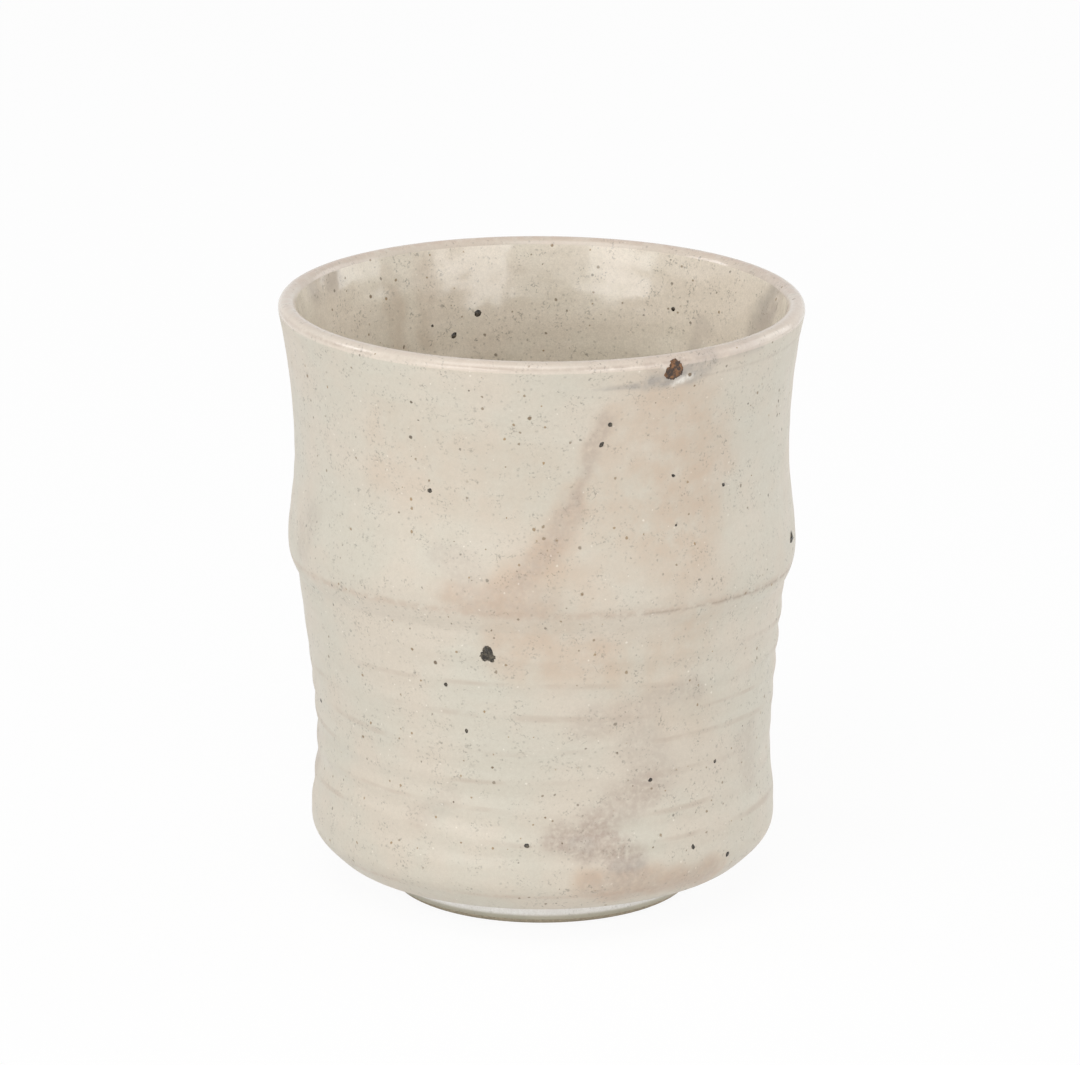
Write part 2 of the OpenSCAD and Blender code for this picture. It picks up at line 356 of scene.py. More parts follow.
INNER_STROKES = {
    "blush": [(131, 84, 131, 66, 2.0, 0.50), (121, 86, 122, 74, 1.8, 0.40), (20, 70, 60, 50, 7.0, 0.40)],
    "smoke_and_shade": [(14, 86, 22, 78, 3.5, 0.75), (150, 86, 162, 86, 2.4, 0.60), (44, 78, 47, 68, 2.2, 0.40)],
    "ash_blue": [(18, 86, 24, 82, 2.0, 0.50)]}


NOISE_SEED = 7
noise.seed_set(NOISE_SEED)


def wander(points, size, reach):
    """A smooth random offset of each point, over a size and with a reach in millimetres."""
    scale = 1 / (size * MM)
    return np.array([noise.noise_vector(Vector(point) * scale) for point in points]) * reach


def distance_to_stroke(azimuth, height, stroke):
    """The distance in millimetres over the wall from points to a stroke's middle line."""
    turn = np.radians(stroke[0])
    across = (azimuth - turn + math.pi) % (2 * math.pi) - math.pi
    x, y = across * WALL_RADIUS, height - stroke[1]
    end_x, end_y = math.radians(stroke[2] - stroke[0]) * WALL_RADIUS, stroke[3] - stroke[1]
    share = np.clip((x * end_x + y * end_y) / (end_x**2 + end_y**2), 0, 1)
    return np.hypot(x - share * end_x, y - share * end_y)


def paint_strokes(piece, table):
    """Stores each kind of stroke on a piece's vertices."""
    co = vertex_array(piece.data)
    azimuth, height = azimuth_and_height(co)
    bend = wander(co, 9, 1.5) + wander(co + 0.05, 3, 0.9)
    bend *= 1 - 0.75 * smooth_between(80, 84, height)[:, None]
    azimuth = azimuth + bend[:, 0] / WALL_RADIUS
    height = height + bend[:, 2]
    for kind, strokes in table.items():
        amount = np.zeros(len(co))
        for stroke in strokes:
            distance = distance_to_stroke(azimuth, height, stroke)
            soft = stroke[5] * (1 - smooth_between(0.35, 1.35, distance / stroke[4]))
            amount = 1 - (1 - amount) * (1 - soft)
        store(piece, kind, amount)


def store(piece, name, values):
    """Puts one number on each vertex, for the material to read."""
    attribute = piece.data.attributes.new(name, "FLOAT", "POINT")
    attribute.data.foreach_set("value", values.astype(np.float32))


paint_strokes(outer_coat, OUTER_STROKES)
paint_strokes(inner_coat, INNER_STROKES)
paint_strokes(lip_coat, OUTER_STROKES)
print("strokes:", sum(len(rows) for rows in OUTER_STROKES.values()), "outside")

# %% [markdown]
# Glaze runs off edges and thins there, and the clay's iron then shows as a fine pinkish line: along the
# belt's lower edge, on top of the turned bevel, under the lip and on its crest. The lines at the belt's
# lower edge and at the base's lower edge are also painted shade, where the wall turns under. Two
# attributes hold the soft and the fine lines, and a third holds the finger ridges, so that colour can
# follow them.

# %% Thin edges with painted shade at belt and base, and finger ridges
BELT_EDGE = 50.0
BEVEL_EDGE = 7.9
BASE_EDGE = 5.0
LIP_EDGE = 84.3
LIP_RUN = 87.1
CREST = 87.95
RIGHT_START = (-1.45, -0.95)
RIGHT_END = (0.2, 1.0)
FRONT_START = (-0.6, 0.6)
RIDGES_START = (9, 14)

for piece in (outer_coat, lip_coat):
    azimuth, height = azimuth_and_height(vertex_array(piece.data))
    worn = 0.6 + 0.4 * np.sin(3 * azimuth + 1.5) * np.sin(7 * azimuth + 0.4)
    right = plateau(RIGHT_START, RIGHT_END, azimuth)
    front = smooth_between(*FRONT_START, -np.sin(azimuth))
    # The belt line is partly thin glaze and partly painted shade under the belt; the bevel line is thin
    # glaze.
    soft_line_and_shade = bell(height, BELT_EDGE, 0.6) * 0.6 + bell(height, BEVEL_EDGE, 0.35) * worn * 0.8
    # The line at the base's lower edge is painted shade under the bevel, partly thin glaze.
    soft_line_and_shade += bell(height, BASE_EDGE, 0.5) * 0.3
    soft_line_and_shade += bell(height, CREST, 0.3) * (1 - 0.6 * front)
    store(piece, "thin_edge_and_shade", np.clip(soft_line_and_shade, 0, 1))
    # The fine line under the belt, on the right, is partly painted shade in the crease.
    fine_line_and_shade = bell(height, BELT_EDGE - 0.3, 0.22) * right
    fine_line_and_shade += bell(height, LIP_EDGE, 0.2) * right * 0.4
    fine_line_and_shade += bell(height, LIP_RUN, 0.25) * front * worn * 1.4
    store(piece, "fine_line_and_shade", np.clip(fine_line_and_shade, 0, 1))
    below_belt = plateau(RIDGES_START, RINGS_END, height)
    store(piece, "ridge", below_belt * (0.5 + 0.5 * ring_wave(azimuth, height)))
print("thin edges at", BASE_EDGE, BEVEL_EDGE, BELT_EDGE, LIP_EDGE, LIP_RUN, "and", CREST, "mm")

# %% [markdown]
# The coat ran down to the foot and gathered there as a white band. Its near-white colour is partly the
# pale pooled glaze and partly a painted highlight, where the glossy band catches the light. Its level is
# stored in the same way.

# %% White glaze pooled on the foot, partly a painted highlight
POOL_AND_HIGHLIGHT_FROM = 1.25
POOL_AND_HIGHLIGHT_TO = 1.8
foot_height = vertex_array(foot_coat.data)[:, 2] / MM
store(foot_coat, "pool_and_highlight", smooth_between(POOL_AND_HIGHLIGHT_FROM, POOL_AND_HIGHLIGHT_TO, foot_height))
print("pool from", POOL_AND_HIGHLIGHT_FROM, "mm up")

# %% [markdown]
# The attributes were worked out on the round pieces, where heights are easy to name. Now all of the
# pieces go through the field of offsets, and the attributes move along with the vertices.

# %% Give the round pieces the thrower's hand
for piece in (clay_body, clay_foot, outer_coat, lip_coat, inner_coat, foot_coat, well_coat):
    shape_by_hand(piece)

# %% [markdown]
# Iron grains in the clay melt through the glaze in the kiln and set as dark beads. A bead could be a
# bump in the material, but it would vanish from the mesh. Each plug in the solids tells where a bead
# is and how large. An icosphere is pressed flat, roughened with noise and turned to the wall's normal
# there, with half of it sunk in the coat.

# %% Find the plugs
FACING = 0.8


def islands(bm):
    """The separate closed shells of a bmesh, as lists of faces."""
    left, found = set(bm.faces), []
    while left:
        shell, edge_of = [], [left.pop()]
        while edge_of:
            face = edge_of.pop()
            shell.append(face)
            near = {other for edge in face.edges for other in edge.link_faces} & left
            left -= near
            edge_of.extend(near)
        found.append(shell)
    return found


def plug_places(node, side):
    """Centre, normal and width of each plug's face: side is 1 outside the wall and -1 inside it."""
    bm = bmesh.new()
    bm.from_mesh(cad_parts[node].data)
    bmesh.ops.remove_doubles(bm, verts=bm.verts, dist=MERGE)
    places = []
    for shell in islands(bm):
        middle = sum((face.calc_center_median() for face in shell), Vector()) / len(shell)
        outward = Vector((middle.x, middle.y, 0)).normalized() * side
        front = [face for face in shell if face.normal.dot(outward) > FACING]
        area = sum(face.calc_area() for face in front)
        centre = sum((face.calc_center_median() * face.calc_area() for face in front), Vector()) / area
        normal = sum((face.normal * face.calc_area() for face in front), Vector()).normalized()
        places.append((centre, normal, 2 * math.sqrt(area / math.pi)))
    bm.free()
    return sorted(places, key=lambda place: -place[2])


outer_plugs = plug_places("outer_iron_spots", 1)
inner_plugs = plug_places("inner_iron_spots", -1)
nodule_plug = plug_places("lip_iron_nodule", 1)[0]
print("plugs:", len(outer_plugs), "outside,", len(inner_plugs), "inside")

# %% [markdown]
# Noise at three sizes pushes a bead's points in and out. The largest beads also get three corners, as
# lumps that burst. All beads of a side go into one bmesh, since one solid node stands for them.

# %% Melt a bead on each plug
LARGE_BEAD = 1.2 * MM
SUNK_SHARE = 0.3
BEAD_BULGE = 0.13
BEAD_ROUGHNESS = 0.2
LUMP_ROUGHNESS = 0.3
LUMP_LOBES = 0.16
FIRST_SEED = 2


def wall_frame(place):
    """The matrix of a place on the wall: X along the wall, Y up the wall and Z out of it."""
    centre, normal, _ = place
    along = Vector((0, 0, 1)).cross(normal).normalized()
    turn = Matrix((along, normal.cross(along), normal)).transposed().to_4x4()
    return Matrix.Translation(Vector(by_hand(np.array([centre]))[0])) @ turn


def add_bead(bm, place, bulge, roughness, seed, detail=3, stretch=1.0, lobes=0.0):
    """Adds a flattened rough bead on the wall, with its widest ring under the surface."""
    made = bmesh.ops.create_icosphere(bm, subdivisions=detail, radius=1)["verts"]
    for vert in made:
        grain = vert.co * 1.3 + Vector((seed * 7.3, seed * 3.1, seed))
        swell = noise.noise(grain) + 0.6 * noise.noise(grain * 2.6) + 0.4 * noise.noise(grain * 5.5)
        corner = lobes * math.cos(3 * math.atan2(vert.co.y, vert.co.x) - 1.5 * math.pi)
        vert.co *= 1 + roughness * swell + corner * math.hypot(vert.co.x, vert.co.y)
    width, height = place[2], bulge * place[2]
    press = Matrix.Diagonal((width / 2 * stretch, width / 2 / stretch, height, 1))
    roll = Matrix.Rotation(0.0 if lobes else seed * 2.4, 4, "Z")
    sink = Matrix.Translation((0, 0, -height * SUNK_SHARE))
    bmesh.ops.transform(bm, matrix=wall_frame(place) @ sink @ roll @ press, verts=made)


def beads(places, name, node):
    """All beads of one side of the wall as one piece. The largest is a burst lump with corners."""
    bm = bmesh.new()
    for index, place in enumerate(places):
        seed = index + FIRST_SEED
        if place[2] > LARGE_BEAD:
            add_bead(bm, place, BEAD_BULGE, LUMP_ROUGHNESS, seed, detail=5, lobes=LUMP_LOBES)
        else:
            add_bead(bm, place, BEAD_BULGE, BEAD_ROUGHNESS, seed, stretch=1 + 0.12 * (index % 3))
    return new_piece(bm, name, node)


outer_beads = beads(outer_plugs, "outer_iron_beads", "outer_iron_spots")
inner_beads = beads(inner_plugs, "inner_iron_beads", "inner_iron_spots")

# %% [markdown]
# The lump on the lip is one more such bead. It is a piece of its own, because it is rust, not glass.

# %% The burst nodule on the lip
crust_bm = bmesh.new()
add_bead(crust_bm, nodule_plug, bulge=0.12, roughness=0.24, seed=5, detail=5, lobes=0.05)
lip_crust = new_piece(crust_bm, "lip_iron_crust", "lip_iron_nodule")

# %% [markdown]
# Now the finishes. A shader tree is wired node by node, so small helpers keep that readable: one adds
# a node and sets or links its inputs, and the others use it for sums, mixed colours, soft thresholds
# and groups. Colours are written as the 0 to 255 values that a picture would show.

# %% Wiring helpers


def colour(red, green, blue):
    """A display colour as the linear values that a shader works with."""
    channels = [value / 255 for value in (red, green, blue)]
    linear = [c / 12.92 if c <= 0.04045 else ((c + 0.055) / 1.055) ** 2.4 for c in channels]
    return (*linear, 1.0)


def add(tree, kind, inputs=None, **settings):
    """Adds a node, applies its settings, and links or sets its inputs by name or index."""
    made = tree.nodes.new("ShaderNode" + kind)
    for name, value in settings.items():
        setattr(made, name, value)
    for name, value in (inputs or {}).items():
        if isinstance(value, bpy.types.NodeSocket):
            tree.links.new(value, made.inputs[name])
        else:
            made.inputs[name].default_value = value
    return made


def maths(tree, operation, first, second=0.0, third=0.0):
    """The result of one sum."""
    return add(tree, "Math", {0: first, 1: second, 2: third}, operation=operation).outputs[0]


def mixed(tree, share, below, above):
    """One colour over another."""
    return add(tree, "Mix", {0: share, 6: below, 7: above}, data_type="RGBA").outputs[2]


def soft_step(tree, value, low, high):
    """0 below low, 1 above high and a smooth step between, or the other way round."""
    made = add(
        tree, "MapRange", {"Value": value, "From Min": low, "From Max": high},
        interpolation_type="SMOOTHSTEP")
    return made.outputs["Result"]


def new_group(name, inputs, outputs):
    """An empty node group with float sockets, and a vector named Place in millimetres."""
    tree = bpy.data.node_groups.new(name, "ShaderNodeTree")
    tree.interface.new_socket("Place", in_out="INPUT", socket_type="NodeSocketVector")
    for label, value in inputs.items():
        socket = tree.interface.new_socket(label, in_out="INPUT", socket_type="NodeSocketFloat")
        socket.default_value = value
    for label in outputs:
        tree.interface.new_socket(label, in_out="OUTPUT", socket_type="NodeSocketFloat")
    return tree, tree.nodes.new("NodeGroupInput").outputs, tree.nodes.new("NodeGroupOutput").inputs


def use_group(tree, group, place, **values):
    """Places a group in a tree and gives back its outputs."""
    return add(tree, "Group", {"Place": place, **values}, node_tree=group).outputs


# %% [markdown]
# Iron specks are in every coat, from pale grey dust to dark dots. Voronoi cells scatter them: each
# cell holds at most one speck, and the cell's random colour decides whether it is there, how large it
# is and how dark. A slow noise changes the share of filled cells, so that the specks crowd in some
# places and are few in others. A little noise in the coordinates keeps the dots from being perfect
# circles.

# %% Group: iron specks


def make_specks():
    tree, given, out = new_group(
        "Iron specks", {"Cell": 1.2, "Share": 0.3, "Size": 0.4, "Blur": 0.6}, ("Mask", "Tint"))
    ragged = add(tree, "TexNoise", {"Vector": given["Place"], "Scale": 2.2, "Detail": 1.0})
    shifted = add(
        tree, "VectorMath", {0: ragged.outputs["Color"], 1: (0.3, 0.3, 0.3), 2: given["Place"]},
        operation="MULTIPLY_ADD").outputs[0]
    scale = maths(tree, "DIVIDE", 1.0, given["Cell"])
    cells = add(tree, "TexVoronoi", {"Vector": shifted, "Scale": scale})
    random = add(tree, "SeparateColor", {0: cells.outputs["Color"]}).outputs
    crowd = add(tree, "TexNoise", {"Vector": given["Place"], "Scale": 0.11, "Detail": 2.0})
    crowded = maths(tree, "MULTIPLY_ADD", soft_step(tree, crowd.outputs["Fac"], 0.32, 0.68), 1.6, 0.2)
    there = maths(tree, "LESS_THAN", random[0], maths(tree, "MULTIPLY", given["Share"], crowded))
    grown = maths(tree, "MULTIPLY_ADD", random[1], 0.35, 0.15)
    radius = maths(tree, "MULTIPLY", grown, given["Size"])
    away = maths(tree, "MULTIPLY", cells.outputs["Distance"], given["Cell"])
    core = maths(tree, "MULTIPLY", radius, maths(tree, "SUBTRACT", 1.0, given["Blur"]))
    dot = soft_step(tree, away, radius, core)
    tree.links.new(maths(tree, "MULTIPLY", dot, there), out["Mask"])
    tree.links.new(random[2], out["Tint"])
    return tree


SPECKS = make_specks()
print("group:", SPECKS.name)

# %% [markdown]
# The glaze is cloudy: it drifts between cool and warm over a centimetre or two, and its film is
# mottled at less than a millimetre. One group of layered noise serves for both, with the size and the
# sharpness as inputs. Stretch squeezes the pattern along the axis, which gives streaks that run round
# the wall.

# %% Group: clouds


def make_clouds():
    tree, given, out = new_group(
        "Glaze clouds",
        {"Size": 10.0, "Detail": 3.0, "Low": 0.35, "High": 0.65, "Stretch": 1.0}, ("Cloud",))
    parts = add(tree, "SeparateXYZ", {0: given["Place"]}).outputs
    squeezed = add(tree, "CombineXYZ", {
        0: maths(tree, "DIVIDE", parts[0], given["Stretch"]),
        1: maths(tree, "DIVIDE", parts[1], given["Stretch"]),
        2: parts[2]}).outputs[0]
    scale = maths(tree, "DIVIDE", 1.0, given["Size"])
    cloud = add(
        tree, "TexNoise",
        {"Vector": squeezed, "Scale": scale, "Detail": given["Detail"], "Roughness": 0.55})
    tree.links.new(soft_step(tree, cloud.outputs["Fac"], given["Low"], given["High"]), out["Cloud"])
    return tree


CLOUDS = make_clouds()
print("group:", CLOUDS.name)

# %% [markdown]
# Here and there the film carries short grey hairs and scuffs, where it crawled or trapped dust. They
# are the edges of distorted cells, kept only where two noises agree, so that each is a short stroke.

# %% Group: hairs


def make_hairs():
    tree, given, out = new_group("Hairs", {"Cell": 2.6, "Width": 0.1, "Share": 0.4}, ("Mask",))
    bend = add(tree, "TexNoise", {"Vector": given["Place"], "Scale": 0.9, "Detail": 2.0})
    bent = add(
        tree, "VectorMath", {0: bend.outputs["Color"], 1: (2.4, 2.4, 2.4), 2: given["Place"]},
        operation="MULTIPLY_ADD").outputs[0]
    scale = maths(tree, "DIVIDE", 1.0, given["Cell"])
    edges = add(tree, "TexVoronoi", {"Vector": bent, "Scale": scale}, feature="DISTANCE_TO_EDGE")
    away = maths(tree, "MULTIPLY", edges.outputs["Distance"], given["Cell"])
    line = soft_step(tree, away, given["Width"], 0.0)
    short = add(tree, "TexNoise", {"Vector": given["Place"], "Scale": 0.75, "Detail": 1.0})
    kept = soft_step(tree, short.outputs["Fac"], 0.56, 0.66)
    sparse = add(tree, "TexNoise", {"Vector": given["Place"], "Scale": 0.11, "Detail": 1.0})
    limit = maths(tree, "SUBTRACT", 1.0, given["Share"])
    patch = soft_step(tree, sparse.outputs["Fac"], limit, maths(tree, "ADD", limit, 0.12))
    tree.links.new(maths(tree, "MULTIPLY", maths(tree, "MULTIPLY", line, kept), patch), out["Mask"])
    return tree


HAIRS = make_hairs()
print("group:", HAIRS.name)

# %% [markdown]
# A glaze surface is never flat: it has the skin of an orange at half a millimetre, a few pinholes, and
# a slow swell where it ran, which bends the reflections of the lamps. This group puts out a height for
# a Bump node and a factor for the roughness.

# %% Group: glaze skin


def make_skin():
    tree, given, out = new_group(
        "Glaze skin", {"Peel": 1.0, "Pits": 1.0, "Swell": 0.0}, ("Height", "Dullness"))
    peel = add(tree, "TexNoise", {"Vector": given["Place"], "Scale": 1.1, "Detail": 2.0})
    slow = add(tree, "TexNoise", {"Vector": given["Place"], "Scale": 0.25, "Detail": 1.0})
    rise = maths(tree, "ADD", maths(tree, "MULTIPLY", peel.outputs["Fac"], 0.35), slow.outputs["Fac"])
    pits = use_group(tree, SPECKS, given["Place"], Cell=1.6, Share=0.25, Size=0.34, Blur=0.9)["Mask"]
    sunk = maths(tree, "MULTIPLY", pits, given["Pits"])
    skin = maths(tree, "SUBTRACT", maths(tree, "MULTIPLY", rise, given["Peel"]), sunk)
    broad = add(tree, "TexNoise", {"Vector": given["Place"], "Scale": 0.13, "Detail": 1.0})
    swell = maths(tree, "MULTIPLY", broad.outputs["Fac"], given["Swell"])
    tree.links.new(maths(tree, "ADD", skin, swell), out["Height"])
    tree.links.new(slow.outputs["Fac"], out["Dullness"])
    return tree


SKIN = make_skin()
print("group:", SKIN.name)

# %% [markdown]
# Every coat is the same feldspar glaze at another thickness, so one function lays the shared layers:
# clouds, kiln strokes, film mottle, specks, hairs and pale pinholes with painted glints. Each coat then
# has its own short section with its own colours and amounts. The inner coat's colours are painted lighter
# than the outer's, partly for its thicker glaze and partly as painted light for the shaded inside. The
# Principled shader stays in the material.

# %% The shared layers of a coat
DARK_IRON = colour(70, 60, 46)
BROWN_IRON = colour(128, 104, 70)
GREY_IRON = colour(126, 119, 108)
OCHRE_IRON = colour(148, 116, 66)
# Pale dots: partly pinholes, partly painted glints.
PINHOLE_AND_GLINT = colour(240, 234, 224)


def empty_tree(owner):
    """The cleared node tree of a material or a world."""
    owner.use_nodes = True
    owner.node_tree.nodes.clear()
    return owner.node_tree


def new_material(name):
    """A material, its empty node tree, and the shaded place in millimetres."""
    material = bpy.data.materials.new(name)
    tree = empty_tree(material)
    metres = add(tree, "TexCoord").outputs["Object"]
    place = add(tree, "VectorMath", {0: metres, 3: 1 / MM}, operation="SCALE")
    return material, tree, place.outputs[0]


def attribute(tree, name):
    """A number stored on the vertices."""
    return add(tree, "Attribute", attribute_name=name).outputs["Fac"]


def cloudy(tree, place, cool, warm):
    """The drifting ground colour of a coat."""
    drift = use_group(tree, CLOUDS, place, Size=13.0, Detail=4.0, Low=0.36, High=0.64)["Cloud"]
    return mixed(tree, drift, cool, warm)


def stroked(tree, place, ground, kind, tone, reach=1.0, grain=3.5):
    """A kiln stroke over the ground, broken up by clouds of its own."""
    broken = use_group(tree, CLOUDS, place, Size=grain, Detail=5.0, Low=0.15, High=0.7)["Cloud"]
    share = maths(tree, "MULTIPLY", attribute(tree, kind), maths(tree, "MULTIPLY", broken, reach))
    return mixed(tree, share, ground, tone)


def mottled(tree, place, ground, depth):
    """The film's fine mottle, its grain, and streaks that run round the wall."""
    fine = use_group(tree, CLOUDS, place, Size=0.6, Detail=2.0, Low=0.25, High=0.75)["Cloud"]
    grain = use_group(tree, CLOUDS, place, Size=0.22, Detail=1.0, Low=0.3, High=0.7)["Cloud"]
    streak = use_group(tree, CLOUDS, place, Size=1.6, Detail=3.0, Low=0.3, High=0.75, Stretch=9.0)["Cloud"]
    ground = mixed(tree, maths(tree, "MULTIPLY", fine, depth), ground, colour(176, 166, 150))
    ground = mixed(tree, maths(tree, "MULTIPLY", grain, depth * 1.2), ground, colour(180, 172, 158))
    return mixed(tree, maths(tree, "MULTIPLY", streak, depth * 0.8), ground, colour(186, 172, 154))


def speckled(tree, place, ground, amount, crawled=0.46):
    """Three sizes of iron speck, pale pinholes with painted glints, scuffs where grit was trapped, and
    hairs.
    """
    dust = use_group(tree, SPECKS, place, Cell=0.85, Share=0.65 * amount, Size=0.64, Blur=0.9)
    ground = mixed(tree, maths(tree, "MULTIPLY", dust["Mask"], 0.38), ground, GREY_IRON)
    dots = use_group(tree, SPECKS, place, Cell=1.7, Share=0.45 * amount, Size=0.68, Blur=0.5)
    tone = mixed(tree, dots["Tint"], OCHRE_IRON, GREY_IRON)
    ground = mixed(tree, maths(tree, "MULTIPLY", dots["Mask"], 0.85), ground, tone)
    spots = use_group(tree, SPECKS, place, Cell=2.6, Share=0.32 * amount, Size=0.8, Blur=0.5)
    tone = mixed(tree, spots["Tint"], DARK_IRON, BROWN_IRON)
    ground = mixed(tree, maths(tree, "MULTIPLY", spots["Mask"], 0.9), ground, tone)
    # Pale dots, partly pinholes and partly painted glints.
    glint = use_group(tree, SPECKS, place, Cell=1.1, Share=0.35 * amount, Size=0.5, Blur=0.9)
    ground = mixed(tree, maths(tree, "MULTIPLY", glint["Mask"], 0.5), ground, PINHOLE_AND_GLINT)
    grit = use_group(tree, CLOUDS, place, Size=0.35, Detail=2.0, Low=0.54, High=0.7)["Cloud"]
    trapped = use_group(tree, CLOUDS, place, Size=2.4, Detail=2.0, Low=0.49, High=0.67)["Cloud"]
    scuff = maths(tree, "MULTIPLY", maths(tree, "MULTIPLY", grit, trapped), 0.6 * amount)
    ground = mixed(tree, scuff, ground, GREY_IRON)
    hairs = use_group(tree, HAIRS, place, Share=crawled)["Mask"]
    return mixed(tree, maths(tree, "MULTIPLY", hairs, 0.65 * amount), ground, GREY_IRON)


def glazed(tree, place, ground, gloss, peel, swell=0.0):
    """Ends a coat: its colour, its gloss and the relief of its skin."""
    skin = use_group(tree, SKIN, place, Peel=peel, Swell=swell)
    bump = add(tree, "Bump", {"Strength": 0.5, "Distance": 0.03 * MM, "Height": skin["Height"]})
    rough = add(tree, "MapRange", {
        "Value": skin["Dullness"], "From Min": 0.3, "From Max": 0.7,
        "To Min": gloss, "To Max": gloss + 0.1})
    shader = add(tree, "BsdfPrincipled", {
        "Base Color": ground, "Roughness": rough.outputs[0], "IOR": 1.55, "Normal": bump.outputs[0]})
    add(tree, "OutputMaterial", {"Surface": shader.outputs[0]})


# %% [markdown]
# The outer coat shows all of it: a pale grey-beige ground, pink and smoky strokes with one low smoke
# stroke that is painted shade, pale spots by the nodule that are partly painted highlight, thin pinkish
# edges with painted shade under the belt and the base, and darker grooves where the fingers ran.

# %% Outer coat


def outer_layers(tree, place):
    """The layers that the outer coat and the band over the lip share."""
    ground = cloudy(tree, place, colour(201, 196, 182), colour(206, 196, 181))
    ground = stroked(tree, place, ground, "blush", colour(196, 173, 151))
    # Smoke strokes; the one low at the front under the bevel is painted shade.
    ground = stroked(tree, place, ground, "smoke_and_shade", colour(164, 146, 134), 1.0, grain=0.8)
    ground = stroked(tree, place, ground, "ash_blue", colour(160, 153, 146), 1.3, grain=1.8)
    # Pale spots by the nodule: partly its pale glaze rim, partly painted highlight.
    ground = stroked(tree, place, ground, "pale", colour(236, 232, 224), 1.3, grain=0.8)
    groove = maths(tree, "SUBTRACT", 1.0, attribute(tree, "ridge"))
    broken = use_group(tree, CLOUDS, place, Size=4.0, Detail=3.0, Low=0.42, High=0.7, Stretch=2.5)["Cloud"]
    ridge = maths(tree, "MULTIPLY", soft_step(tree, groove, 0.15, 0.0), broken)
    ground = mixed(tree, maths(tree, "MULTIPLY", ridge, 0.45), ground, colour(174, 154, 138))
    frayed = use_group(tree, CLOUDS, place, Size=1.4, Detail=3.0, Low=0.3, High=0.6)["Cloud"]
    # Thin edges, with painted shade under the belt and at the base's lower edge.
    edge = maths(tree, "MULTIPLY", attribute(tree, "thin_edge_and_shade"), frayed)
    ground = mixed(tree, maths(tree, "MULTIPLY", edge, 0.65), ground, colour(180, 151, 130))
    # Fine lines, with painted shade just under the belt on the right.
    line = maths(tree, "MULTIPLY", attribute(tree, "fine_line_and_shade"), frayed)
    return mixed(tree, maths(tree, "MULTIPLY", line, 0.7), ground, colour(144, 127, 112))


def outer_finish():
    material, tree, place = new_material("outer_coat")
    ground = outer_layers(tree, place)
    ground = mottled(tree, place, ground, 0.16)
    ground = speckled(tree, place, ground, 1.0)
    glazed(tree, place, ground, gloss=0.42, peel=1.0)
    return material


def lip_finish():
    material, tree, place = new_material("lip_coat")
    # The lip is mixed towards pale pink: partly its thin glaze, partly painted light on its upturned
    # crest.
    ground = mixed(tree, 0.4, outer_layers(tree, place), colour(230, 212, 199))
    ground = mottled(tree, place, ground, 0.12)
    ground = speckled(tree, place, ground, 0.9)
    glazed(tree, place, ground, gloss=0.14, peel=2.0, swell=8.0)
    return material


def inner_finish():
    material, tree, place = new_material("inner_coat")
    # The inner ground is painted much lighter than the outer coat's: partly a thicker glaze, partly
    # painted light that makes up for the shade inside the cup.
    ground = cloudy(tree, place, colour(233, 225, 209), colour(235, 224, 208))
    ground = stroked(tree, place, ground, "blush", colour(194, 172, 150))
    ground = stroked(tree, place, ground, "smoke_and_shade", colour(172, 160, 152))
    ground = stroked(tree, place, ground, "ash_blue", colour(164, 158, 150))
    ground = mottled(tree, place, ground, 0.18)
    ground = speckled(tree, place, ground, 1.0, crawled=0.5)
    glazed(tree, place, ground, gloss=0.1, peel=3.0, swell=45.0)
    return material


def foot_finish():
    material, tree, place = new_material("foot_coat")
    ground = cloudy(tree, place, colour(176, 172, 152), colour(186, 180, 160))
    # The pooled band is painted near white: partly pale pooled glaze, partly a painted highlight.
    ground = mixed(tree, attribute(tree, "pool_and_highlight"), ground, colour(250, 249, 246))
    ground = mottled(tree, place, ground, 0.12)
    ground = speckled(tree, place, ground, 0.5)
    glazed(tree, place, ground, gloss=0.12, peel=0.7)
    return material


outer_coat.data.materials.append(outer_finish())
lip_coat.data.materials.append(lip_finish())
inner_coat.data.materials.append(inner_finish())
foot_material = foot_finish()
foot_coat.data.materials.append(foot_material)
well_coat.data.materials.append(foot_material)
print("coats finished")

# %% [markdown]
# The bare clay is sandy and dull. The iron beads are dark glass with a dull crust on their shoulders,
# and the burst nodule is rust.

# %% Clay and iron


def clay_finish():
    material, tree, place = new_material("stoneware")
    sand = use_group(tree, CLOUDS, place, Size=0.5, Detail=4.0, Low=0.3, High=0.7)["Cloud"]
    ground = mixed(tree, sand, colour(168, 156, 136), colour(188, 176, 154))
    ground = speckled(tree, place, ground, 1.0)
    bump = add(tree, "Bump", {"Strength": 0.7, "Distance": 0.08 * MM, "Height": sand})
    shader = add(tree, "BsdfPrincipled", {
        "Base Color": ground, "Roughness": 0.85, "Normal": bump.outputs[0]})
    add(tree, "OutputMaterial", {"Surface": shader.outputs[0]})
    return material


def iron_finish(name, dark, light, rough, size):
    material, tree, place = new_material(name)
    crust = use_group(tree, CLOUDS, place, Size=size, Detail=4.0, Low=0.42, High=0.66)["Cloud"]
    ground = mixed(tree, crust, dark, light)
    bump = add(tree, "Bump", {"Strength": 0.8, "Distance": 0.08 * MM, "Height": crust})
    dull = add(tree, "MapRange", {"Value": crust, "To Min": rough, "To Max": rough + 0.25})
    shader = add(tree, "BsdfPrincipled", {
        "Base Color": ground, "Roughness": dull.outputs[0], "Normal": bump.outputs[0]})
    add(tree, "OutputMaterial", {"Surface": shader.outputs[0]})
    return material


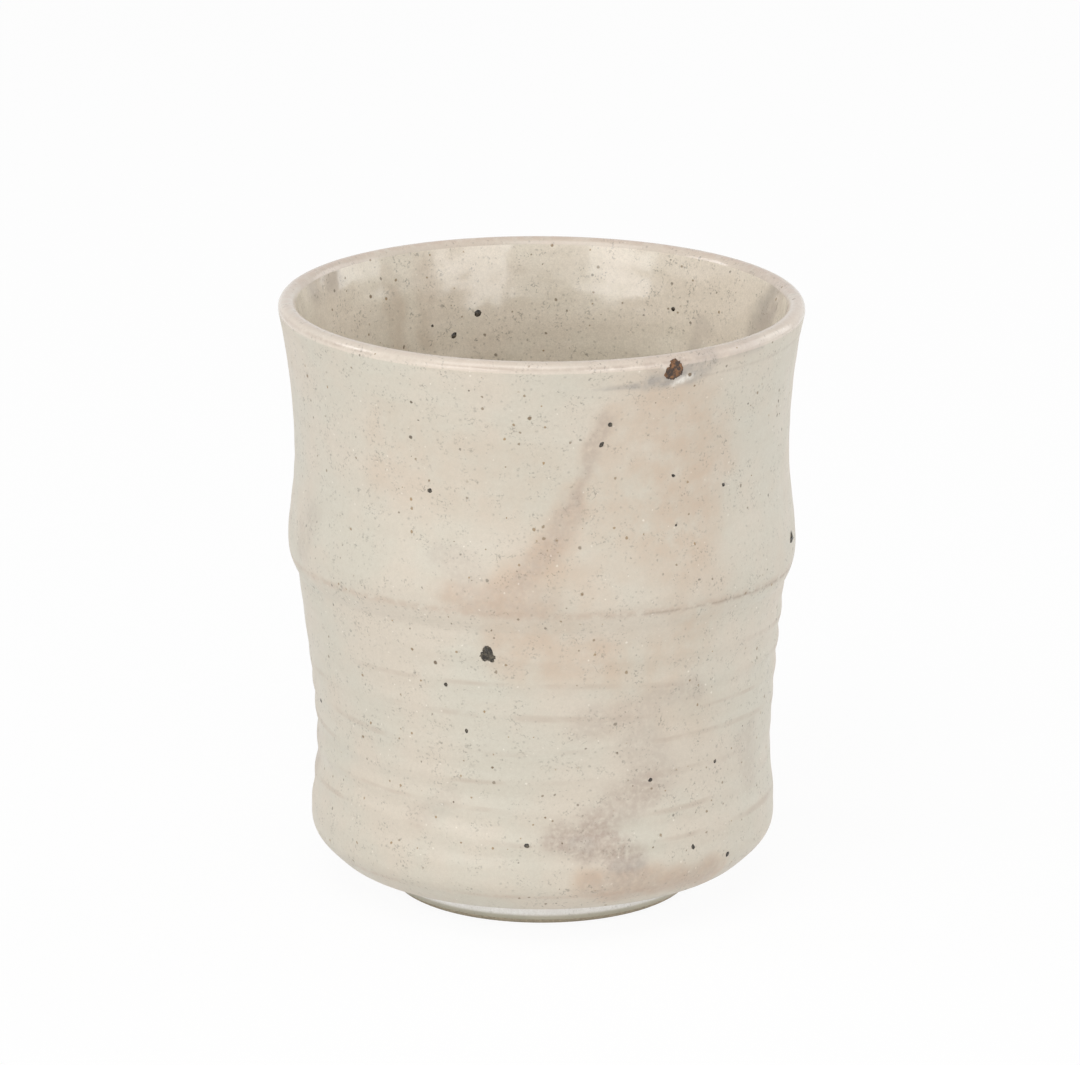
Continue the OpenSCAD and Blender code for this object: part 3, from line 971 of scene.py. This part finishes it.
stoneware = clay_finish()
clay_body.data.materials.append(stoneware)
clay_foot.data.materials.append(stoneware)
iron_melt = iron_finish("iron_melt", colour(38, 32, 24), colour(92, 84, 70), rough=0.25, size=0.5)
outer_beads.data.materials.append(iron_melt)
inner_beads.data.materials.append(iron_melt)
iron_crust = iron_finish("iron_crust", colour(58, 44, 34), colour(138, 98, 66), rough=0.55, size=0.6)
lip_crust.data.materials.append(iron_crust)
print("materials:", len(bpy.data.materials))

# %% [markdown]
# The stage is a plain white floor under a white sky. A surface lit to exactly white would need more
# light than the cup can take, so the floor and the sky shine white by themselves for the rays that
# see them directly or in a gloss, and the floor keeps a share of its lit colour, which holds the
# shadow.

# %% Floor and sky
FLOOR_RADIUS = 3.0
SHINE_SHARE = 0.93
SKY_LIGHT = 0.48


def seen_ray(tree):
    """1 for rays that see a surface directly, in a gloss or through glass, and 0 for light."""
    path = add(tree, "LightPath").outputs
    seen = maths(tree, "MAXIMUM", path["Is Camera Ray"], path["Is Glossy Ray"])
    return maths(tree, "MAXIMUM", seen, path["Is Transmission Ray"])


def floor_finish():
    material = bpy.data.materials.new("white_floor")
    tree = empty_tree(material)
    lit = add(tree, "BsdfDiffuse", {"Color": (0.95, 0.95, 0.95, 1)})
    shine = add(tree, "Emission", {"Color": (1, 1, 1, 1), "Strength": 1.0})
    share = maths(tree, "MULTIPLY", seen_ray(tree), SHINE_SHARE)
    both = add(tree, "MixShader", {0: share, 1: lit.outputs[0], 2: shine.outputs[0]})
    add(tree, "OutputMaterial", {"Surface": both.outputs[0]})
    return material


floor_bm = bmesh.new()
bmesh.ops.create_circle(floor_bm, cap_ends=True, segments=64, radius=FLOOR_RADIUS)
floor_mesh = bpy.data.meshes.new("floor")
floor_bm.to_mesh(floor_mesh)
floor_bm.free()
floor = bpy.data.objects.new("floor", floor_mesh)
bpy.context.scene.collection.objects.link(floor)
floor.data.materials.append(floor_finish())

world = bpy.data.worlds.new("white_sky")
bpy.context.scene.world = world
sky = empty_tree(world)
lift = maths(sky, "MULTIPLY", seen_ray(sky), 1 - SKY_LIGHT)
strength = maths(sky, "ADD", lift, SKY_LIGHT)
glow = add(sky, "Background", {"Color": (1, 1, 1, 1), "Strength": strength})
add(sky, "OutputWorld", {"Surface": glow.outputs[0]})
print("stage ready")

# %% [markdown]
# Two soft boxes stand low, left and right of the camera. Their reflections show as two pale patches on
# the lip and high on the inside wall. A smaller box on the left throws the rim's shadow across the
# inside, a wide one fills the right from behind, and a hood over the camera lights the lip and the
# floor of the cup. One sky could light it all, but evenly, and the inside would then be as pale as the
# outside. A lamp's brightness is easiest to judge as what a mirror would show of it, so the energy is
# worked out from that and from the lamp's area.

# %% Soft boxes
BOX_DISTANCE = 1.3
CUP_MIDDLE = Vector((0, 0, 50 * MM))


def soft_box(name, azimuth, elevation, width, height, brightness):
    """A rectangular lamp that faces the cup."""
    lamp = bpy.data.lights.new(name, "AREA")
    lamp.shape = "RECTANGLE"
    lamp.size = width
    lamp.size_y = height
    lamp.energy = brightness * math.pi * width * height
    box = bpy.data.objects.new(name, lamp)
    bpy.context.scene.collection.objects.link(box)
    turn, rise = math.radians(azimuth), math.radians(elevation)
    toward = Vector((math.cos(turn) * math.cos(rise), math.sin(turn) * math.cos(rise), math.sin(rise)))
    box.location = toward * BOX_DISTANCE + CUP_MIDDLE
    box.rotation_euler = toward.to_track_quat("Z", "Y").to_euler()
    return box


lamps = [
    soft_box("left_box", -125, 7, 0.75, 0.45, 3.22),
    soft_box("right_box", -55, 7, 0.75, 0.45, 2.74),
    soft_box("left_fill", 177, 27, 0.4, 0.4, 5.0),
    soft_box("right_fill", 20, 16, 1.2, 0.9, 1.6),
    soft_box("hood", -110, 52, 1.2, 0.8, 2.2)]
print("lamps:", len(lamps))

# %% [markdown]
# The camera looks down on the cup by sixteen degrees with a long lens, as for a catalogue. The
# distance and the lens come from the shapes of the rim, belt and base, which a nearer camera would
# draw rounder.

# %% Camera
CAMERA_TILT = math.radians(16.01)
CAMERA_DISTANCE = 883.7 * MM
AIM = Vector((-0.23 * MM, 0, 52.58 * MM))
LENS_PIXELS = 6065
FRAME_WIDTH = 1080
SENSOR = 36.0

lens = bpy.data.cameras.new("camera")
lens.sensor_width = SENSOR
lens.sensor_fit = "HORIZONTAL"
lens.lens = LENS_PIXELS * SENSOR / FRAME_WIDTH
camera = bpy.data.objects.new("camera", lens)
bpy.context.scene.collection.objects.link(camera)
camera.location = AIM + Vector((0, -math.cos(CAMERA_TILT), math.sin(CAMERA_TILT))) * CAMERA_DISTANCE
camera.rotation_euler = (math.pi / 2 - CAMERA_TILT, 0, 0)
bpy.context.scene.camera = camera
bpy.context.scene.view_settings.view_transform = "Standard"
print("lens:", round(lens.lens, 1), "mm")
